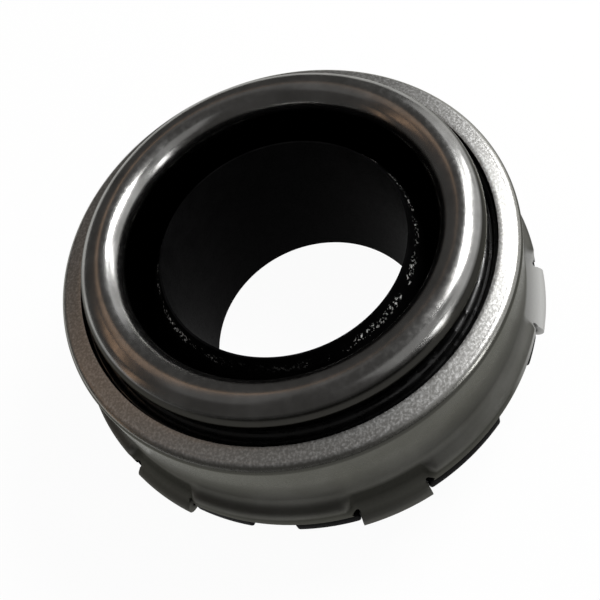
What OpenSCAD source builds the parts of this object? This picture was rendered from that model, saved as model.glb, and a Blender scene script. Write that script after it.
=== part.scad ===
// Clutch release bearing of the self-centring kind: a black moulded guide sleeve, a crimped steel cover,
// and between them a sealed angular-contact ball bearing whose inner ring carries the rounded nose.
// Origin at the centre of the sleeve's gearbox end, +Z along the axis towards the nose. Millimetres.

/* [Guide sleeve] */
// Bore that slides on the gearbox guide tube
bore_d = 35; // [30:0.5:42]
// Length of the sleeve and its bore
sleeve_len = 28.1; // [26:0.1:29]
// Wall of the sleeve
sleeve_wall = 2.4; // [1.8:0.1:2.8]
// Length of the tapered lip at the mouth
lip_len = 3.8; // [2:0.1:5]
// Wall left at the mouth's edge
lip_wall = 0.3; // [0.2:0.05:0.8]
// Length of bare sleeve below the pads
tail_len = 10.4; // [6:0.1:14]
// Height of the pads from their feet to the cover's rim
pad_h = 2.6; // [2:0.1:4]
// Angle left open between the pads on the fork's axis
fork_gap_angle = 10; // [6:1:16]
// Angle left open between the other pads
side_gap_angle = 15; // [8:1:18]
// Angle from the fork's axis to the middle of those openings
side_gap_at = 66; // [62:1:70]
// Radial width of the pads
pad_w = 3.8; // [2.5:0.1:5]
// Thickness of the flange that carries the spring
web_t = 2.75; // [2:0.05:3.5]
// Thickness of the flange's rim, which the tabs hold
rim_t = 3.7; // [3:0.05:3.8]
// Rise of the flange's spring face above its rim
web_rise = 1.1; // [0.8:0.1:2.2]
// Size of the gusset between the flange and the sleeve
gusset = 2.5; // [1.5:0.1:3.5]

/* [Bearing] */
// Diameter of one ball
ball_d = 5; // [4:0.1:6]
// Number of balls in the row
ball_count = 20; // [12:1:24]
// Contact angle of the raceways, in degrees
contact_angle = 38; // [25:1:45]
// Radius of a raceway groove as a share of the ball's diameter
groove_share = 0.52; // [0.515:0.005:0.54]
// Gap between ball and raceway
race_clear = 0.06; // [0.05:0.01:0.09]
// Wall of the inner ring behind its groove
inner_wall = 2; // [1.6:0.1:2.4]
// Wall of the outer ring behind its groove
outer_wall = 1.6; // [1.3:0.1:2]
// Height of a raceway's flat land past the groove
race_lip = 0.16; // [0.1:0.01:0.2]
// Angle at which the high shoulder cuts the groove off, in degrees
shoulder_angle = 62; // [55:1:66]
// Height of the outer ring between the balls and the top seal's seat
top_land = 0.4; // [0.3:0.05:0.8]
// Height of the inner ring's foot above the outer ring's
foot_lift = 1; // [0.8:0.05:1.2]
// Chamfer on the edges of the rings and the sleeve
edge_chamfer = 0.4; // [0.2:0.05:0.6]
// Gap between the sleeve and the inner ring
ring_gap = 2.1; // [1.6:0.1:3.5]

/* [Nose] */
// Distance from the ring's bore out to the crest of the nose
nose_flare = 3.1; // [2.8:0.1:4]
// Radius of the roll from the crest out to the nose's edge
nose_roll = 3.1; // [2.6:0.1:3.6]
// Angle through which the nose rolls over, in degrees
roll_angle = 73; // [60:1:90]
// Height of the crest above the cover
nose_h = 5.1; // [4.6:0.1:7]
// Wall of the nose
nose_wall = 1.8; // [1.4:0.1:2]
// Gap between the nose and the cover's hole
nose_gap = 1.3; // [0.9:0.1:2]

/* [Cover] */
// Thickness of the pressed sheet
sheet = 1; // [0.8:0.05:1.1]
// Outer radius of the bend at the top
bend_r = 1.2; // [1.1:0.1:2.6]
// Step outwards from the wall to the rim
joggle = 1.75; // [1.4:0.05:1.9]
// Radius of the hollow at the start of the step
joggle_hollow_r = 2; // [1.5:0.1:3]
// Outer radius of the bend at the end of the step
joggle_bend_r = 1.2; // [1.15:0.05:2]
// Straight height of the rim
skirt_h = 2.2; // [1.6:0.1:2.4]
// Angle between the two tabs on either side of the fork's axis
tab_spread = 56; // [50:0.5:60]
// Angle that one tab covers
tab_angle = 16; // [12:1:20]
// Distance that a tab stands out past the rim
tab_proud = 0.95; // [0.8:0.05:1.5]
// Height at which a tab leaves the wall, above the start of the rim's step
tab_rise = 0.4; // [0.2:0.1:1]
// Outer radius of a tab's fold
tab_fold_r = 1.3; // [1.2:0.05:1.8]
// Length of the leg that a tab folds under the flange
tab_leg = 3; // [2:0.1:4]
// Height of the slit beside a tab
slit_h = 0.5; // [0.3:0.1:1]
// Width of that slit
slit_w = 0.9; // [0.6:0.1:1.4]
// Diameter of the round relief at the slit's end
relief_d = 1.2; // [1:0.1:1.8]

/* [Cage, seals and spring] */
// Gap between a ball and its pocket
pocket_clear = 0.12; // [0.08:0.01:0.2]
// Gap between the cage and the rings' shoulders
cage_clear = 0.15; // [0.1:0.01:0.3]
// Thickness of the cage under a ball's pocket
cage_floor = 0.38; // [0.3:0.02:0.6]
// Gap between the cage and the lower seal
cage_gap = 0.2; // [0.15:0.05:0.5]
// Height of the cage above the ball centres
cage_claw = 1.1; // [0.8:0.1:1.4]
// Thickness of the seals' discs
seal_t = 0.9; // [0.7:0.1:1.2]
// Depth of the seals' seats in the outer ring's wall
seal_seat = 0.5; // [0.3:0.05:0.7]
// Height of the top seal's seat
top_seat_h = 1.65; // [1.5:0.05:2.2]
// Height of the outer ring below the lower seal's groove
lower_land = 0.4; // [0.3:0.05:0.8]
// Gap between a seal's lip and the inner ring
lip_clear = 0.12; // [0.08:0.01:0.2]
// Radius of the bead on the top seal
bead_r = 0.75; // [0.5:0.05:0.9]
// Distance that the bead stands out past the nose's edge
bead_proud = 0.1; // [0:0.05:0.3]
// Thickness of the wave spring's strip
spring_t = 0.5; // [0.4:0.05:0.7]
// Radial width of the wave spring
spring_w = 2.6; // [2:0.1:3]
// Height from the flange to the outer ring, which the spring fills
spring_gap = 1.85; // [1.6:0.05:2.4]
// Number of waves
spring_waves = 4; // [3:1:6]

/* [Fits] */
// Sideways room for the bearing inside the cover
float_gap = 0.78; // [0.75:0.01:1.2]
// Gap where one flat face seats on another
seat_clear = 0.05; // [0.03:0.01:0.1]
// Gap round pieces that are pressed or clipped together
fit_clear = 0.1; // [0.05:0.01:0.15]

/* [Hidden] */
$fn = 96;
eps = 0.01;

// Radii, counted outwards from the bore
bore_r = bore_d / 2;
sleeve_r = bore_r + sleeve_wall;
ring_bore_r = sleeve_r + ring_gap;
inner_groove_r = ring_bore_r + inner_wall;
ball_r = ball_d / 2;
pitch_r = inner_groove_r + race_clear + ball_r;
outer_groove_r = pitch_r + ball_r + race_clear;
outer_ring_r = outer_groove_r + outer_wall;
wall_in_r = outer_ring_r + float_gap;
cover_r = wall_in_r + sheet;
skirt_r = cover_r + joggle;
tab_r = skirt_r + tab_proud;
tab_reach = tab_r - cover_r;
rim_r = skirt_r - sheet - fit_clear;
crest_r = ring_bore_r + nose_flare;
nose_r = crest_r + (nose_roll - nose_wall / 2) * sin(roll_angle) + nose_wall / 2;
hole_r = nose_r + nose_gap;

// Heights, counted upwards from the sleeve's gearbox end
skirt_z = tail_len + pad_h + fit_clear;
rim_top_z = skirt_z + skirt_h - seat_clear;
rim_z = rim_top_z - rim_t;
flange_z = rim_top_z + web_rise;
web_z = flange_z - web_t;
outer_ring_z = flange_z + spring_gap;
lower_seal_z = outer_ring_z + lower_land;
cage_z = lower_seal_z + seal_t + 2 * seat_clear + cage_gap;
ball_z = cage_z + cage_floor + pocket_clear + ball_r;
top_seat_z = ball_z + ball_r + top_land;
ring_top_z = top_seat_z + top_seat_h;
cover_top_z = ring_top_z + seat_clear + sheet;
crest_z = cover_top_z + nose_h;

// Raceways
groove_r = groove_share * ball_d;
groove_shift = groove_r - ball_r - race_clear;
shoulder_in = groove_r * cos(shoulder_angle);
inner_foot_z = outer_ring_z + foot_lift;
inner_land_r = inner_groove_r + race_lip;
inner_shoulder_r = pitch_r - shoulder_in;
neck_r = ring_bore_r + nose_wall;
neck_z = top_seat_z - fit_clear;
outer_land_r = outer_groove_r - race_lip;
outer_shoulder_r = pitch_r + shoulder_in;
top_seat_r = outer_groove_r + seal_seat;
seal_groove_r = outer_shoulder_r + seal_seat;

// Step of the rim and hollow of the tabs, each two arcs that meet on one tangent
joggle_angle = acos(1 - joggle / (joggle_hollow_r + joggle_bend_r));
joggle_end_z = skirt_z + skirt_h;
joggle_start_z = joggle_end_z + (joggle_hollow_r + joggle_bend_r) * sin(joggle_angle);
tab_foot_z = rim_z - seat_clear - sheet;
tab_fold_z = tab_foot_z + tab_fold_r;
tab_start_z = joggle_start_z + tab_rise;
tab_flare_angle = 2 * atan(tab_reach / (tab_start_z - tab_fold_z));
tab_hollow_r = (tab_start_z - tab_fold_z) / sin(tab_flare_angle) - tab_fold_r;
slit_top_z = skirt_z + slit_h;

// Angles of the tabs and of the openings between the pads, with the fork's axis along X
tab_middles = [for (end = [0, 180]) each [end - tab_spread / 2, end + tab_spread / 2, end + 90]];
pad_gaps = [for (end = [0, 180])
    each [[end, fork_gap_angle], [end + side_gap_at, side_gap_angle], [end - side_gap_at, side_gap_angle]]];
function angle_of(width) = 2 * asin(width / 2 / skirt_r);
slit_angle = angle_of(slit_w);
notch_angle = tab_angle + 2 * angle_of(2 * fit_clear);
// Angle and height over which a tab's root runs into the cover, and its step out from the wall there
lap_angle = 0.6;
lap_h = 0.3;
root_step = 0.02;
// Square of a tab's inner hollow radius, and the distance of the hollow's centre from the axis
tab_in_sq = pow(tab_hollow_r + sheet, 2);
tab_hollow_at = cover_r + root_step + tab_hollow_r;

// Points along an arc round c, from angle a0 to a1
function arc(c, r, a0, a1, n = 8) =
    [for (i = [0:n]) let (a = a0 + (a1 - a0) * i / n) c + r * [cos(a), sin(a)]];

function ball_name(i) = str("ball_", i < 10 ? "0" : "", i);

// Part of a turn of a profile, centred on an angle
module sector(middle, angle) {
    rotate([0, 0, middle - angle / 2]) rotate_extrude(angle = angle) children();
}

// Black moulded sleeve: tube with a tapered lip, flange and pads
module guide_sleeve() {
    web_r = wall_in_r - 2 * fit_clear;
    // The rim's upper edge is cut back where the tabs come down past it
    rim_edge_r = tab_hollow_at - sqrt(tab_in_sq - pow(tab_start_z - rim_top_z, 2)) - 2 * fit_clear;
    rim_edge_z = tab_start_z - sqrt(tab_in_sq - pow(tab_hollow_at - rim_r - 2 * fit_clear, 2));
    color("#1b1b1c") union() {
        rotate_extrude() polygon([
            [bore_r, 0], [sleeve_r - edge_chamfer, 0], [sleeve_r, edge_chamfer],
            [sleeve_r, web_z - gusset], [sleeve_r + gusset, web_z],
            [rim_r - pad_w, web_z], [rim_r - pad_w, rim_z], [rim_r, rim_z],
            [rim_r, rim_edge_z], [rim_edge_r, rim_top_z], [web_r, rim_top_z], [web_r, flange_z], [sleeve_r, flange_z],
            [sleeve_r, sleeve_len - lip_len], [bore_r + lip_wall, sleeve_len], [bore_r, sleeve_len]
        ]);
        difference() {
            rotate_extrude() translate([skirt_r - fit_clear - pad_w, tail_len]) square([pad_w, pad_h]);
            for (middle = tab_middles) sector(middle, notch_angle) pad_cut();
            for (gap = pad_gaps) sector(gap[0], gap[1]) pad_cut();
        }
    }
}

// Section that clears the ring of pads
module pad_cut() {
    translate([skirt_r - 2 * pad_w, tail_len - pad_h]) square([3 * pad_w, 3 * pad_h]);
}

// Pressed steel cap with joggled rim segments and crimped tabs
module cover() {
    color("#b9bab5") difference() {
        union() {
            difference() {
                rotate_extrude() cover_section();
                for (middle = tab_middles) tab_window(middle);
            }
            for (middle = tab_middles) sector(middle, tab_angle) tab_section();
        }
        for (middle = tab_middles, side = [-1, 1])
            rotate([0, 0, middle + side * (tab_angle + slit_angle) / 2]) relief();
    }
}

// Room for a tab in the rim: wider than the tab below the reliefs, which leaves the slits
module tab_window(middle) {
    width = 3 * tab_reach;
    in_r = wall_in_r - sheet;
    sector(middle, tab_angle - lap_angle)
        translate([in_r, slit_top_z - sheet]) square([width, tab_start_z - slit_top_z + sheet]);
    sector(middle, tab_angle + 2 * slit_angle)
        translate([in_r, tail_len]) square([width, slit_top_z - tail_len]);
}

// Round hole that ends a slit
module relief() {
    translate([wall_in_r - sheet, 0, slit_top_z])
        rotate([0, 90, 0]) cylinder(d = relief_d, h = 4 * tab_reach);
}

module cover_section() {
    hollow_c = [cover_r + joggle_hollow_r, joggle_start_z];
    bend_c = [skirt_r - joggle_bend_r, joggle_end_z];
    top_c = [cover_r - bend_r, cover_top_z - bend_r];
    polygon(concat(
        [[hole_r, cover_top_z]],
        arc(top_c, bend_r, 90, 0),
        arc(hollow_c, joggle_hollow_r, 180, 180 + joggle_angle),
        arc(bend_c, joggle_bend_r, joggle_angle, 0),
        [[skirt_r, skirt_z], [skirt_r - sheet, skirt_z]],
        arc(bend_c, joggle_bend_r - sheet, 0, joggle_angle, 3),
        arc(hollow_c, joggle_hollow_r + sheet, 180 + joggle_angle, 180),
        arc(top_c, bend_r - sheet, 0, 90, 4),
        [[hole_r, cover_top_z - sheet]]
    ));
}

// A tab flares out over the flange's rim and folds back under it
module tab_section() {
    hollow_c = [tab_hollow_at, tab_start_z];
    fold_c = [tab_r + root_step - tab_fold_r, tab_fold_z];
    leg_r = fold_c[0] - tab_leg;
    root_r = cover_r + root_step;
    polygon(concat(
        [[root_r - sheet, tab_start_z + lap_h], [root_r, tab_start_z + lap_h]],
        arc(hollow_c, tab_hollow_r, 180, 180 + tab_flare_angle),
        arc(fold_c, tab_fold_r, tab_flare_angle, -90, 12),
        [[leg_r, tab_foot_z], [leg_r, tab_foot_z + sheet]],
        arc(fold_c, tab_fold_r - sheet, -90, tab_flare_angle, 6),
        arc(hollow_c, tab_hollow_r + sheet, 180 + tab_flare_angle, 180)
    ));
}

// Still ring: the ball track, a seat for each seal and a flat top under the cover
module outer_ring() {
    top_chamfer = max(edge_chamfer, bend_r - sheet);
    color("#a8aaac") rotate_extrude() difference() {
        polygon([
            [outer_shoulder_r, outer_ring_z], [outer_ring_r - edge_chamfer, outer_ring_z],
            [outer_ring_r, outer_ring_z + edge_chamfer], [outer_ring_r, ring_top_z - top_chamfer],
            [outer_ring_r - top_chamfer, ring_top_z], [top_seat_r, ring_top_z], [top_seat_r, top_seat_z],
            [outer_land_r, top_seat_z], [outer_land_r, ball_z], [outer_shoulder_r, ball_z]
        ]);
        translate([pitch_r, ball_z] - groove_shift * [cos(contact_angle), -sin(contact_angle)])
            circle(r = groove_r);
        translate([outer_shoulder_r - eps, lower_seal_z])
            square([seal_groove_r - outer_shoulder_r + eps, seal_t + 2 * seat_clear]);
    }
}

// Turning ring: the ball track below, and the nose flared out and rolled over at the top
module inner_ring() {
    flare_c = [crest_r, crest_z - nose_flare];
    roll_c = [crest_r, crest_z - nose_roll];
    edge_turn = 90 - roll_angle;
    edge_c = roll_c + (nose_roll - nose_wall / 2) * [cos(edge_turn), sin(edge_turn)];
    color("#c3c4c2") rotate_extrude() difference() {
        polygon(concat(
            [[ring_bore_r, inner_foot_z]],
            arc(flare_c, nose_flare, 180, 90, 10),
            arc(roll_c, nose_roll, 90, edge_turn, 10),
            arc(edge_c, nose_wall / 2, edge_turn, edge_turn - 180, 8),
            arc(roll_c, nose_roll - nose_wall, edge_turn, 90, 4),
            arc(flare_c, nose_flare - nose_wall, 90, 180, 6),
            [[neck_r, neck_z], [inner_shoulder_r, neck_z], [inner_shoulder_r, ball_z],
             [inner_land_r, ball_z], [inner_land_r, inner_foot_z]]
        ));
        translate([pitch_r, ball_z] + groove_shift * [cos(contact_angle), -sin(contact_angle)])
            circle(r = groove_r);
    }
}

// Moulded snap cage: a ring under the balls with claws between them
module cage() {
    color("#c9b58a") difference() {
        rotate_extrude() translate([inner_shoulder_r + cage_clear, cage_z])
            square([2 * (shoulder_in - cage_clear), ball_z + cage_claw - cage_z]);
        for (i = [1:ball_count]) ball_place(i) sphere(r = ball_r + pocket_clear);
    }
}

module ball_place(i) {
    rotate([0, 0, (i - 1) * 360 / ball_count]) translate([pitch_r, 0, ball_z]) children();
}

module ball(i) {
    color("#d9dadb") ball_place(i) sphere(r = ball_r);
}

// Rubber seal under the nose, with a round bead that shows in the gap
module top_seal() {
    lip_r = neck_r + lip_clear;
    outer_r = top_seat_r - seat_clear;
    disc_z = top_seat_z + seat_clear;
    top_z = ring_top_z - seat_clear;
    bead_c = [nose_r + bead_proud - bead_r, cover_top_z - sheet / 2 - bead_r];
    color("#151515") rotate_extrude() union() {
        polygon([
            [lip_r, disc_z], [outer_r, disc_z], [outer_r, top_z], [outer_r - seal_t, top_z],
            [outer_r - seal_t, disc_z + seal_t], [lip_r + seal_t, disc_z + seal_t],
            [lip_r, disc_z + 2 * seal_t]
        ]);
        translate(bead_c) circle(r = bead_r);
        translate([bead_c[0] - bead_r, disc_z + seal_t / 2])
            square([2 * bead_r, bead_c[1] - disc_z - seal_t / 2]);
    }
}

// Flat rubber seal clipped into the outer ring's groove
module lower_seal() {
    color("#202020") rotate_extrude()
        translate([inner_land_r + lip_clear, lower_seal_z + seat_clear])
            square([seal_groove_r - seat_clear - inner_land_r - lip_clear, seal_t]);
}

// Flat strip ring bent into even waves
module wave_spring() {
    steps = 24 * spring_waves;
    mid_z = flange_z + spring_gap / 2;
    swing = spring_gap / 2 - seat_clear - spring_t / 2;
    in_r = outer_ring_r - fit_clear - spring_w;
    function section(k) =
        let (a = 360 * k / steps, z = mid_z + swing * sin(spring_waves * a))
        [for (p = [[in_r, -1], [in_r + spring_w, -1], [in_r + spring_w, 1], [in_r, 1]])
            [p[0] * cos(a), p[0] * sin(a), z + p[1] * spring_t / 2]];
    points = [for (k = [0:steps - 1]) each section(k)];
    faces = [for (k = [0:steps - 1], j = [0:3])
        let (a = 4 * k + j, b = 4 * k + (j + 1) % 4, c = 4 * ((k + 1) % steps) + (j + 1) % 4,
             d = 4 * ((k + 1) % steps) + j)
        each [[a, b, c], [a, c, d]]];
    color("#8e9094") polyhedron(points, faces);
}

guide_sleeve();
cover();
outer_ring();
inner_ring();
cage();
top_seal();
lower_seal();
wave_spring();
for (i = [1:ball_count])
    ball(i);
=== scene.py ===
# %% [markdown]
# # A clutch release bearing
#
# This bearing slides along a tube on the gearbox. Its turning ring ends in a rounded steel nose that pushes
# on the fingers of the clutch spring. A pressed steel cover holds the bearing on a black moulded sleeve.
#
# The engineering model already gives every piece its size and place. This lesson dresses it: the four pieces
# that show are modelled again as smooth meshes of the same form, and every piece gets a finish.

# %% Load the engineering model
from math import acos, asin, atan, cos, degrees, pi, radians, sin, sqrt

import bmesh
import bpy
from mathutils import Euler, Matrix, Quaternion, Vector, noise


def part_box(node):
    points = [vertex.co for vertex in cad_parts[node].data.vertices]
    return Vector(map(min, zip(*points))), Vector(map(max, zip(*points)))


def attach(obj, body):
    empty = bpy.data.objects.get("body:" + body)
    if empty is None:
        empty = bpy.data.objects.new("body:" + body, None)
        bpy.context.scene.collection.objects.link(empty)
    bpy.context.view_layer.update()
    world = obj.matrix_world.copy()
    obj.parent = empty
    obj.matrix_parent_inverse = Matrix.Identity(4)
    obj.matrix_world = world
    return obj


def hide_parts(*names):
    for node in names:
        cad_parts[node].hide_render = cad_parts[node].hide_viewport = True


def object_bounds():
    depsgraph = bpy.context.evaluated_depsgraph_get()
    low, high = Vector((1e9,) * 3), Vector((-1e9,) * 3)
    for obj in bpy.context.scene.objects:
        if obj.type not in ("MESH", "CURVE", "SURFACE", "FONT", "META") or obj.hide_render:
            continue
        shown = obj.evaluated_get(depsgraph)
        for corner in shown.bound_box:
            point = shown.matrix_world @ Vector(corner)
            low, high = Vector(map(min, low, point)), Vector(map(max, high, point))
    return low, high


MM = 0.001
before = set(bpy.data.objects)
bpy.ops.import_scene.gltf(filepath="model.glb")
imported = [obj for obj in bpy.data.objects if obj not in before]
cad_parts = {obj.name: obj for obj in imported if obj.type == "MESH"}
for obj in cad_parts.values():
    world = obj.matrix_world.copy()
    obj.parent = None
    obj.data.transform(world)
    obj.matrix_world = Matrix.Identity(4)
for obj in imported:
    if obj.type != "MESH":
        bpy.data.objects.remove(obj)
cad_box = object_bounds()

# %% [markdown]
# ## Camera
#
# The picture was taken from above, close to the part, with the camera turned on its side and the part near
# the frame's upper edge. A camera could be aimed by eye. Here its place, turn and lens were worked out once
# from the circles of the real part, so that model and picture line up. A small lens shift gives the framing
# without tilting the rings.

# %% Camera
CAMERA_PLACE = Vector((64.394, 34.976, 128.376)) * MM
CAMERA_TURN = Euler([radians(a) for a in (35.5121, 12.8578, 97.773)])
SENSOR_WIDTH = 36.0
LENS = 53.81
LENS_SHIFT = (-0.005, -0.15)

camera_data = bpy.data.cameras.new("camera")
camera_data.sensor_fit = "HORIZONTAL"
camera_data.sensor_width = SENSOR_WIDTH
camera_data.lens = LENS
camera_data.shift_x, camera_data.shift_y = LENS_SHIFT
camera_data.clip_start = MM
camera = bpy.data.objects.new("camera", camera_data)
camera.location = CAMERA_PLACE
camera.rotation_euler = CAMERA_TURN
bpy.context.scene.collection.objects.link(camera)
bpy.context.scene.camera = camera
print("camera", [round(v / MM) for v in camera.location], "mm")

# %% [markdown]
# ## Turning a section into a piece
#
# Nearly every piece here was turned, pressed or moulded round one axis. So each is drawn as half of its
# section, point by point, and spun about Z. A Screw modifier could do the same, but the spin operator can
# also make one sector at a time. Drawing starts from a plane that is merged to one corner, and every next
# point is an extrusion of the last one.

# %% Helpers for selecting and for points of a section
SAME_POINT = 1e-4


def only(piece):
    bpy.ops.object.select_all(action="DESELECT")
    piece.select_set(True)
    bpy.context.view_layer.objects.active = piece


def edit(piece):
    only(piece)
    bpy.ops.object.mode_set(mode="EDIT")


def done():
    bpy.ops.object.mode_set(mode="OBJECT")


def arc(centre, radius, start, end, count=8):
    """Points along an arc of a section, from one angle to another, in degrees."""
    turns = [radians(start + (end - start) * i / count) for i in range(count + 1)]
    return [(centre[0] + radius * cos(a), centre[1] + radius * sin(a)) for a in turns]


def line(start, end, count):
    """Points evenly along a straight stretch, with both ends."""
    return [tuple(start[k] + (end[k] - start[k]) * i / count for k in (0, 1)) for i in range(count + 1)]


def without_repeats(points):
    kept = [points[0]]
    for p in points[1:]:
        if (Vector(p) - Vector(kept[-1])).length > SAME_POINT:
            kept.append(p)
    return kept


# %% Drawing a section
def draw_section(name, points, turn=0.0, closed=True):
    """A chain of edges through (radius, height) points in millimetres, in the half-plane at an angle."""
    points = without_repeats(points)
    way = Vector((cos(radians(turn)), sin(radians(turn)), 0))
    places = [(way * r + Vector((0, 0, z))) * MM for r, z in points]
    bpy.ops.object.select_all(action="DESELECT")
    bpy.ops.mesh.primitive_plane_add(size=MM, location=(0, 0, 0))
    piece = bpy.context.object
    piece.name = name
    piece.data.name = name
    edit(piece)
    bpy.ops.mesh.merge(type="CENTER")
    bpy.ops.transform.translate(value=places[0])
    for here, there in zip(places, places[1:]):
        bpy.ops.mesh.extrude_region_move(TRANSFORM_OT_translate={"value": there - here})
    if closed:
        shape = bmesh.from_edit_mesh(piece.data)
        shape.verts.ensure_lookup_table()
        for v in shape.verts:
            v.select = len(v.link_edges) == 1
        shape.select_flush_mode()
        bpy.ops.mesh.edge_face_add()
    bpy.ops.mesh.select_all(action="SELECT")
    return piece


# %% Spinning, welding and smoothing
WELD = 0.002


def spin(angle, steps):
    """Spins what is selected to the left round Z. The operator itself counts turns to the right."""
    bpy.ops.mesh.spin(steps=steps, angle=-radians(angle), center=(0, 0, 0), axis=(0, 0, 1))


def close_up():
    """Welds the seam and turns the faces outwards."""
    bpy.ops.mesh.select_all(action="SELECT")
    bpy.ops.mesh.remove_doubles(threshold=WELD * MM)
    bpy.ops.mesh.normals_make_consistent(inside=False)


def apply(piece, kind, **values):
    """Adds a modifier with these values and applies it."""
    only(piece)
    modifier = piece.modifiers.new(kind.lower(), kind)
    for key, value in values.items():
        setattr(modifier, key, value)
    bpy.ops.object.modifier_apply(modifier=modifier.name)


def smooth(piece, angle=35):
    only(piece)
    bpy.ops.object.shade_smooth_by_angle(angle=radians(angle))
    print(piece.name, "faces", len(piece.data.polygons))


# %% [markdown]
# ## Nose ring
#
# The turning ring is a bored steel sleeve whose top is flared out and rolled over. The fingers of the clutch
# spring run on the crest. A torus joined to a tube would leave a seam. So the section is drawn whole, with
# true arcs, and spun: a polished curve shows every seam and facet as a kink in its reflections.

# %% Nose ring
ring_low, ring_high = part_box("inner_ring")
crest_z = ring_high.z / MM
nose_r = ring_high.x / MM
ring_foot_z = ring_low.z / MM
RING_BORE_R = 22.0
NOSE_FLARE = 3.1
NOSE_ROLL = 3.1
ROLL_ANGLE = 73
NOSE_WALL = 1.8
RACE_R = 2.6
BALL_PITCH_R = 26.56
BALL_Z = 22.8
RACE_LAND_R = 24.16
SHOULDER_R = 25.34
SHOULDER_TOP_Z = 25.6
EDGE_BREAK = 0.2
NOSE_STEPS = 256

crest_r = RING_BORE_R + NOSE_FLARE
flare_c = (crest_r, crest_z - NOSE_FLARE)
roll_c = (crest_r, crest_z - NOSE_ROLL)
lip_turn = 90 - ROLL_ANGLE
lip_c = arc(roll_c, NOSE_ROLL - NOSE_WALL / 2, 90, lip_turn, count=1)[1]
neck_r = RING_BORE_R + NOSE_WALL
race_top = degrees(acos((BALL_PITCH_R - SHOULDER_R) / RACE_R))
race_foot = degrees(acos((BALL_PITCH_R - RACE_LAND_R) / RACE_R))

nose_section = (
    line((RING_BORE_R, ring_foot_z + EDGE_BREAK), (RING_BORE_R, flare_c[1]), count=12)
    + arc(flare_c, NOSE_FLARE, 180, 90, count=24)
    + arc(roll_c, NOSE_ROLL, 90, lip_turn, count=24)
    + arc(lip_c, NOSE_WALL / 2, lip_turn, lip_turn - 180, count=16)
    + arc(roll_c, NOSE_ROLL - NOSE_WALL, lip_turn, 90, count=6)
    + arc(flare_c, NOSE_FLARE - NOSE_WALL, 90, 180, count=8)
    + [(neck_r, SHOULDER_TOP_Z), (SHOULDER_R - EDGE_BREAK, SHOULDER_TOP_Z),
       (SHOULDER_R, SHOULDER_TOP_Z - EDGE_BREAK)]
    + arc((BALL_PITCH_R, BALL_Z), RACE_R, 180 - race_top, 180 + race_foot, count=16)
    + [(RACE_LAND_R, ring_foot_z + EDGE_BREAK), (RACE_LAND_R - EDGE_BREAK, ring_foot_z),
       (RING_BORE_R + EDGE_BREAK, ring_foot_z)]
)
nose_ring = draw_section("nose_ring", nose_section)
spin(360, NOSE_STEPS)
close_up()
done()
smooth(nose_ring)
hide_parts("inner_ring")
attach(nose_ring, "rotor")

# %% [markdown]
# ## Pressed cover
#
# The cover is one sheet of steel: a flat ring on top, a bend, a straight wall, then a step outwards to the
# rim. Six tabs are pressed out of the rim and folded under the sleeve's flange. A slit with a round end frees
# each tab.
#
# Tabs could be cut from a full ring, but then they would not run softly into the wall. So the outer skin is
# spun sector by sector, with columns of faces that end where tabs and slits do. Then the tabs are pushed out,
# their folds are extruded, and Solidify gives the sheet its thickness inwards.

# %% Sizes of the cover
cover_low, cover_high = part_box("cover")
cover_top_z = cover_high.z / MM
tab_foot_z = cover_low.z / MM
tab_r = cover_high.y / MM
SHEET = 1.0
HOLE_R = 29.4
COVER_R = 32.5
BEND_R = 1.2
STEP_OUT = 1.75
STEP_HOLLOW_R = 2.0
STEP_BEND_R = 1.2
SKIRT_Z = 13.1
SKIRT_H = 2.2
TAB_SPREAD = 56.0
TAB_ANGLE = 16.0
TAB_RISE = 0.4
TAB_FOLD_R = 1.3
TAB_LEG = 3.0
SLIT_H = 0.5
SLIT_W = 0.9
RELIEF_D = 1.2

skirt_r = COVER_R + STEP_OUT
slit_angle = degrees(2 * asin(SLIT_W / 2 / skirt_r))
step_angle = degrees(acos(1 - STEP_OUT / (STEP_HOLLOW_R + STEP_BEND_R)))
step_end_z = SKIRT_Z + SKIRT_H
step_start_z = step_end_z + (STEP_HOLLOW_R + STEP_BEND_R) * sin(radians(step_angle))
tab_fold_z = tab_foot_z + TAB_FOLD_R
tab_start_z = step_start_z + TAB_RISE
tab_drop_h = tab_start_z - tab_fold_z
tab_flare = degrees(2 * atan((tab_r - COVER_R) / tab_drop_h))
tab_hollow_r = tab_drop_h / sin(radians(tab_flare)) - TAB_FOLD_R
slit_top_z = SKIRT_Z + SLIT_H
step_hollow_c = (COVER_R + STEP_HOLLOW_R, step_start_z)
step_bend_c = (skirt_r - STEP_BEND_R, step_end_z)
tab_hollow_c = (COVER_R + tab_hollow_r, tab_start_z)
tab_fold_c = (tab_r - TAB_FOLD_R, tab_fold_z)


def rim_radius(z):
    """Outer radius of the stepped rim at a height."""
    if z >= step_start_z:
        return COVER_R
    hollow_drop = step_start_z - z
    if hollow_drop <= STEP_HOLLOW_R * sin(radians(step_angle)):
        return step_hollow_c[0] - sqrt(STEP_HOLLOW_R ** 2 - hollow_drop ** 2)
    return step_bend_c[0] + sqrt(STEP_BEND_R ** 2 - max(0.0, z - step_end_z) ** 2)


def tab_radius(z):
    """Outer radius of a tab at a height above its fold."""
    if z >= tab_start_z:
        return COVER_R
    return tab_hollow_c[0] - sqrt(tab_hollow_r ** 2 - (tab_start_z - z) ** 2)


half_turn_tabs = [-TAB_SPREAD / 2, TAB_SPREAD / 2, 90]
tab_middles = [middle + end for end in (0, 180) for middle in half_turn_tabs]
print("tabs at", tab_middles, "slit", round(slit_angle, 2), "degrees")

# %% Skin of the cover, sector by sector
FACE_ANGLE = 1.2
SLIT_STEPS = 4
RIM_ROWS = 22

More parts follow.
